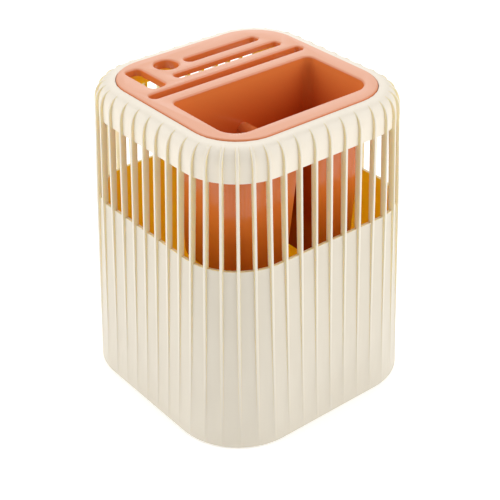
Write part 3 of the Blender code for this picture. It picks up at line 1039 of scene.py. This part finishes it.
    def tub_ring(self, height: float, grow: float, inset: float = 0.0) -> Ring:
        """Return a ring round the tub.

        Args:
            height: Its level.
            grow: How far it stands outside the tub's inner wall.
            inset: How far the rounding of the floor draws it in.

        Returns:
            The points, anticlockwise.
        """
        drawn = (self.top - height) * math.tan(self.tub_draft) + inset - grow
        front = max(self.front_corner - inset + grow, self.wall)
        back = max(self.back_corner - inset + grow, self.wall)
        tub_front = -self.half + self.tub_margin
        breadth = (self.tub_back - tub_front) / 2
        centre = (0.0, (self.tub_back + tub_front) / 2)
        length = self.half - self.tub_margin
        radii = [front, back, back, front]
        return rounded(length - drawn, breadth - drawn, radii, centre, height, self.steps)

    def tub_rings(self, bottom: float, grow: float, radius: float) -> list[Ring]:
        """Return the rings over the rounding of the tub's floor, upwards, grown from its inner wall."""
        arc = reversed(quarter_arc(self.floor_steps))
        return [self.tub_ring(bottom + radius * (1 - up), grow, radius * (1 - out)) for out, up in arc]

    def fold(self, name: str, grow: float) -> Piece:
        """Model a prism of the fold across the tub, along Y.

        Args:
            name: The prism's name.
            grow: How far it stands outside the fold's gap.

        Returns:
            The new object.
        """
        half = self.fold_half + grow
        crest = self.top - self.fold_drop - self.wall + grow
        radius = self.crest_round + grow
        shoulder = crest - self.fold_round - grow
        low = self.tub_bottom - self.floor_round
        spread = (shoulder - low) * math.tan(self.fold_draft)
        arc = quarter_arc(self.steps)[1:-1]
        right = [(half + spread, low), (half, shoulder)]
        right += [(radius * out, crest - radius + radius * up) for out, up in arc]
        outline = right + [(-x, z) for x, z in reversed(right)]
        ends = (-self.half, self.tub_back + 3 * self.wall)
        return loft(name, [[(x, y, z) for x, z in outline] for y in ends])


@dataclass
class Turntable:
    """The hidden bearing: a base on rubber feet, balls in a cage, and a disc screwed under the shell."""

    gap: float = 0.3 * MM
    small_round: float = 0.2 * MM
    disc_radius: float = 68.9 * MM
    disc_bottom: float = 8.4 * MM
    disc_top: float = 11.4 * MM
    disc_round: float = 0.7 * MM
    disc_edge: float = 0.3 * MM
    base_radius: float = 58.4 * MM
    base_bottom: float = 2.0 * MM
    base_top: float = 5.2 * MM
    base_round: float = 0.8 * MM
    race_radius: float = 37.9 * MM
    groove_depth: float = 1.2 * MM
    ball_radius: float = 2.5 * MM
    ball_height: float = 6.8 * MM
    balls: int = 12
    cage_width: float = 9.0 * MM
    cage_round: float = 0.4 * MM
    pin_radius: float = 3.0 * MM
    pin_peen: float = 0.4 * MM
    pin_head_radius: float = 6.0 * MM
    pin_head: float = 1.1 * MM
    pin_head_round: float = 0.6 * MM
    washer_radius: float = 6.5 * MM
    washer_thickness: float = 0.8 * MM
    screw_circle: float = 63.9 * MM
    screw_radius: float = 1.5 * MM
    screw_root: float = 1.125 * MM
    screw_tip: float = 0.6 * MM
    screw_ridges: int = 8
    screw_head_radius: float = 3.0 * MM
    screw_head: float = 1.7 * MM
    screw_head_edge: float = 0.1 * MM
    screw_head_round: float = 0.9 * MM
    screw_length: float = 7.0 * MM
    cross_half: Plan = (1.6 * MM, 0.35 * MM)
    cross_corner: float = 0.05 * MM
    cross_depth: float = 1.1 * MM
    cross_taper: float = 0.6
    cross_steps: int = 2
    foot_circle: float = 49.4 * MM
    foot_radius: float = 6.0 * MM
    foot_top: float = 3.0 * MM
    foot_round: float = 0.7 * MM
    cup_radius: float = 3.6 * MM
    cup_floor_radius: float = 2.88 * MM
    cup_depth: float = 0.4 * MM
    cup_round: float = 0.3 * MM
    fasteners: int = 4
    steps: int = 96
    small_steps: int = 32
    ball_steps: int = 16
    groove_steps: int = 6

    CRISP_DEGREES = 35

    def build(self, plastic: MouldedPlastic, rubber: MouldedPlastic, steel: BrightSteel) -> None:
        """Model every piece, dress it and hand it to its body.

        Args:
            plastic: The finish of the discs and the cage.
            rubber: The finish of the feet.
            steel: The finish of the balls, the pin, the washer and the screws.
        """
        pale, dark, bright = plastic.material(), rubber.material(), steel.material()
        self.finish(self.base(), pale, "base", "pale_plastic", "swivel_base")
        self.finish(self.pin(), bright, "base", "bright_steel", "pivot_pin")
        self.finish(self.washer(), bright, "base", "bright_steel", "pivot_washer")
        for i, foot in enumerate(repeat(self.foot(), self.fasteners)):
            self.finish(foot, dark, "base", "grey_rubber", f"foot_{i + 1}")
        self.finish(self.cage(), pale, "ball_ring", "pale_plastic", "ball_cage")
        for i, ball in enumerate(repeat(self.ball(), self.balls)):
            self.finish(ball, bright, "ball_ring", "bright_steel", f"ball_{i + 1}")
        self.finish(self.disc(), pale, "organizer", "pale_plastic", "race_plate")
        for i, screw in enumerate(repeat(self.screw(), self.fasteners)):
            self.finish(screw, bright, "organizer", "bright_steel", f"plate_screw_{i + 1}")

    def finish(self, piece: Piece, material: Material, body: str, slot: str, node: str) -> None:
        """Dress a piece and hand it over in place of its CAD node.

        Args:
            piece: The piece.
            material: Its material.
            body: The body that carries it.
            slot: Its material slot; not used.
            node: The CAD node that it replaces.
        """
        piece.data.materials.clear()
        piece.data.materials.append(material)
        smooth(piece, self.CRISP_DEGREES)
        hand_over(piece, body, [node])

    def around(self, radius: float) -> list[Plan]:
        """Return the places of the feet or the screws on their circle."""
        return on_circle(radius, self.fasteners, QUARTER / 2)

    def groove(self, height: float, way: int) -> list[Point]:
        """Draw a ball groove across, from its outer edge in.

        Args:
            height: The level of the face that it is cut into.
            way: Which way it goes in: -1 down and 1 up.

        Returns:
            Its corners as (radius, height, fillet).
        """
        radius = self.ball_radius + self.gap
        centre = height + way * (self.groove_depth - radius)
        reach = math.acos(1 - self.groove_depth / radius)
        steps = range(self.groove_steps, -self.groove_steps - 1, -1)
        turns = [reach * step / self.groove_steps for step in steps]
        across = [(radius * math.sin(t), way * radius * math.cos(t)) for t in turns]
        return [(self.race_radius + x, centre + z, 0.0) for x, z in across]

    def base(self) -> Piece:
        """Model the still disc with its ball groove and the seats of its feet and pin head.

        Returns:
            The new object.
        """
        bore = self.pin_radius + self.gap
        head = self.pin_head_radius + self.gap
        seat = self.base_bottom + self.pin_head + 2 * self.gap
        corners = [(bore, seat, 0.0), (head, seat, 0.0), (head, self.base_bottom, self.small_round),
                   (self.base_radius, self.base_bottom, self.base_round),
                   (self.base_radius, self.base_top, self.base_round)]
        corners += self.groove(self.base_top, -1) + [(bore, self.base_top, self.small_round)]
        disc = spin("base_disc", filleted(corners), self.steps)
        for place in self.around(self.foot_circle):
            drill(disc, self.foot_radius + self.gap, 0.0, self.foot_top + self.gap, place)
        return disc

    def foot(self) -> Piece:
        """Model a rubber foot with a rounded rim and a shallow cup underneath.

        Returns:
            The new object.
        """
        corners = [(0.0, self.foot_top, 0.0), (self.foot_radius, self.foot_top, self.small_round),
                   (self.foot_radius, 0.0, self.foot_round), (self.cup_radius, 0.0, self.cup_round),
                   (self.cup_floor_radius, self.cup_depth, self.cup_round), (0.0, self.cup_depth, 0.0)]
        place = self.around(self.foot_circle)[0]
        return spin("rubber_foot_1", filleted(corners), self.small_steps, place)

    def pin(self) -> Piece:
        """Model the headed pin, its upper end peened over the washer.

        Returns:
            The new object.
        """
        low = self.base_bottom + self.gap
        high = low + self.pin_head
        corners = [(0.0, self.disc_top, 0.0), (self.pin_radius, self.disc_top, self.pin_peen),
                   (self.pin_radius, high, 0.0), (self.pin_head_radius, high, self.small_round),
                   (self.pin_head_radius, low, self.pin_head_round), (0.0, low, 0.0)]
        return spin("centre_pin", filleted(corners), 2 * self.small_steps)

    def washer(self) -> Piece:
        """Model the washer that holds the disc on the pin.

        Returns:
            The new object.
        """
        high = self.disc_top - self.gap
        low = high - self.washer_thickness
        bore = self.pin_radius + self.gap / 2
        corners = [(self.washer_radius, high, self.small_round),
                   (self.washer_radius, low, self.small_round), (bore, low, 0.0),
                   (bore, high, self.small_round)]
        return spin("centre_washer", filleted(corners), 2 * self.small_steps)

    def cage(self) -> Piece:
        """Model the ring that spaces the balls.

        Returns:
            The new object.
        """
        low = self.base_top + self.gap
        high = self.disc_bottom - self.gap
        inner = self.race_radius - self.cage_width / 2
        outer = self.race_radius + self.cage_width / 2
        sides = ((outer, high), (outer, low), (inner, low), (inner, high))
        ring = spin("ball_spacer", filleted([(*side, self.cage_round) for side in sides]), self.steps)
        for place in on_circle(self.race_radius, self.balls):
            drill(ring, self.ball_radius + self.gap, low - self.gap, high + self.gap, place)
        return ring

    def ball(self) -> Piece:
        """Model the first bearing ball.

        Returns:
            The new object.
        """
        radius = self.ball_radius
        turns = [math.pi * step / self.ball_steps for step in range(self.ball_steps + 1)]
        profile = [(radius * math.sin(t), self.ball_height + radius * math.cos(t)) for t in turns]
        return spin("bearing_ball_1", profile, self.small_steps, (self.race_radius, 0.0))

    def disc(self) -> Piece:
        """Model the turning disc with its ball groove, washer seat and screw holes.

        Returns:
            The new object.
        """
        low, high = self.disc_bottom, self.disc_top
        bore = self.pin_radius + self.gap
        seat = self.washer_radius + self.gap
        seat_low = high - 2 * self.gap - self.washer_thickness
        corners = [(self.disc_radius, low, self.disc_round), (self.disc_radius, high, self.disc_edge),
                   (seat, high, self.small_round), (seat, seat_low, 0.0), (bore, seat_low, 0.0),
                   (bore, low, self.small_round)]
        corners += reversed(self.groove(low, 1))
        plate = spin("race_disc", filleted(corners), self.steps)
        for place in self.around(self.screw_circle):
            drill(plate, self.screw_radius + self.gap, low - self.gap, high + self.gap, place)
        return plate

    def screw(self) -> Piece:
        """Model a pan-head screw with a cross recess and turned ridges for its thread.

        Returns:
            The new object.
        """
        radius, root = self.screw_radius, self.screw_root
        head_top = self.disc_bottom - self.gap
        head_low = head_top - self.screw_head
        tip = self.disc_bottom + self.screw_length
        pitch = (tip - radius - self.disc_top) / self.screw_ridges
        corners = [(0.0, tip, 0.0), (self.screw_tip, tip, 0.0), (root, tip - radius, 0.0)]
        for ridge in range(self.screw_ridges):
            level = tip - radius - ridge * pitch
            corners += [(radius, level - pitch / 2, 0.0), (root, level - pitch, 0.0)]
        corners += [(radius, self.disc_top - pitch / 2, 0.0), (radius, head_top, 0.0),
                    (self.screw_head_radius, head_top, self.screw_head_edge),
                    (self.screw_head_radius, head_low, self.screw_head_round), (0.0, head_low, 0.0)]
        place = self.around(self.screw_circle)[0]
        screw = spin("cross_screw_1", filleted(corners), self.small_steps, place)
        depths = ((head_low + self.cross_depth, self.cross_taper), (head_low - self.gap, 1.0))
        for half_x, half_y in (self.cross_half, self.cross_half[::-1]):
            rings = [rounded(half_x * share, half_y * share, [self.cross_corner] * 4, place, level,
                             self.cross_steps) for level, share in depths]
            combine(screw, loft("cross_recess", rings), Operation.CUT)
        return screw


@dataclass(frozen=True)
class Softbox:
    """A square softbox: its name, its place in metres, the length of its sides and its power in watts."""

    name: str
    place: Point
    size: float
    power: float

    def hang(self, aim: Vector) -> None:
        """Hang the softbox so that it faces a point.

        Args:
            aim: The point.
        """
        data = bpy.data.lights.new(self.name, "AREA")
        data.size = self.size
        data.energy = self.power
        made = bpy.data.objects.new(self.name, data)
        made.location = self.place
        made.rotation_euler = (Vector(self.place) - aim).to_track_quat("Z", "Y").to_euler()
        bpy.context.scene.collection.objects.link(made)


@dataclass
class Studio:
    """A plain pale floor, soft light and a camera at the photograph's angle."""

    azimuth: float = math.radians(-39.048)
    elevation: float = math.radians(32.257)
    roll: float = math.radians(-0.286)
    distance: float = 789.08 * MM
    aim_height: float = 100.0 * MM
    slide_right: float = 1.712 * MM
    slide_up: float = -15.768 * MM
    lens: float = 90.0
    sensor: float = 36.0
    near: float = 10.0 * MM
    floor_half: float = 6.0
    floor_colour: str = "FAFAF9"
    floor_roughness: float = 0.9
    floor_glow: float = 0.32
    fill: float = 0.42
    softboxes: tuple[Softbox, ...] = (
        Softbox("left_softbox", (-0.9, 0.55, 0.75), 1.1, 7.5),
        Softbox("right_softbox", (0.55, -0.9, 0.75), 1.1, 7.5),
        Softbox("top_softbox", (0.45, 0.6, 1.35), 1.0, 6.0),
        Softbox("back_softbox", (0.75, 0.93, 0.5), 0.6, 1.5),
    )

    def build(self) -> None:
        """Set up the camera, the floor and the lights."""
        aim = Vector((0, 0, self.aim_height))
        self.camera(aim)
        self.floor()
        self.world()
        for softbox in self.softboxes:
            softbox.hang(aim)
        bpy.context.scene.view_settings.view_transform = "Standard"

    def camera(self, aim: Vector) -> None:
        """Place the camera.

        Args:
            aim: The point that it looks at before it slides.
        """
        flat = math.cos(self.elevation)
        sine, cosine = math.sin(self.azimuth), math.cos(self.azimuth)
        back = Vector((sine * flat, -cosine * flat, math.sin(self.elevation)))
        right = Vector((cosine, sine, 0.0))
        up = back.cross(right)
        place = aim + back * self.distance + right * self.slide_right + up * self.slide_up
        turn = Matrix((right, up, back)).transposed() @ Matrix.Rotation(self.roll, 3, "Z")
        data = bpy.data.cameras.new("camera")
        data.lens = self.lens
        data.sensor_width = self.sensor
        data.clip_start = self.near
        made = bpy.data.objects.new("camera", data)
        made.matrix_world = Matrix.Translation(place) @ turn.to_4x4()
        bpy.context.scene.collection.objects.link(made)
        bpy.context.scene.camera = made

    def floor(self) -> None:
        """Lay the pale floor, which glows a little so that it stays white to the picture's edge."""
        bpy.ops.object.select_all(action="DESELECT")
        bpy.ops.mesh.primitive_plane_add(size=2 * self.floor_half)
        floor = bpy.context.active_object
        floor.name = "studio_floor"
        made, _, shader = blank("studio_floor")
        set_values(shader, {"Base Color": linear(self.floor_colour), "Roughness": self.floor_roughness,
                            "Emission Color": WHITE, "Emission Strength": self.floor_glow})
        floor.data.materials.append(made)

    def world(self) -> None:
        """Fill the studio with even white light."""
        world = bpy.data.worlds.new("studio")
        world.use_nodes = True
        set_values(world.node_tree.nodes["Background"], {"Color": WHITE, "Strength": self.fill})
        bpy.context.scene.world = world


def main() -> None:
    """Build the organizer's pieces and the studio round it."""
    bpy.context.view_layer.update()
    low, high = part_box("outer_shell")
    shell = RibbedShell(half=high.x, foot=low.z, top=high.z)
    piece = shell.build()
    shell.dress(piece, (CREAM, CREAM_EDGE, CREAM_INSIDE, CREAM_RIB))
    shell.add_bosses(piece)
    hand_over(piece, "organizer", ["outer_shell"])

    low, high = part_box("insert_tray")
    tray = InsertTray(half=high.x, top=high.z, tub_bottom=low.z)
    piece = tray.build(CORAL_TUB, CORAL_INSIDE)
    tray.dress(piece, CORAL_PLATE)
    hand_over(piece, "insert", ["insert_tray"])

    Turntable().build(PALE, RUBBER, BrightSteel())
    Studio().build()


if __name__ == "__main__":
    main()
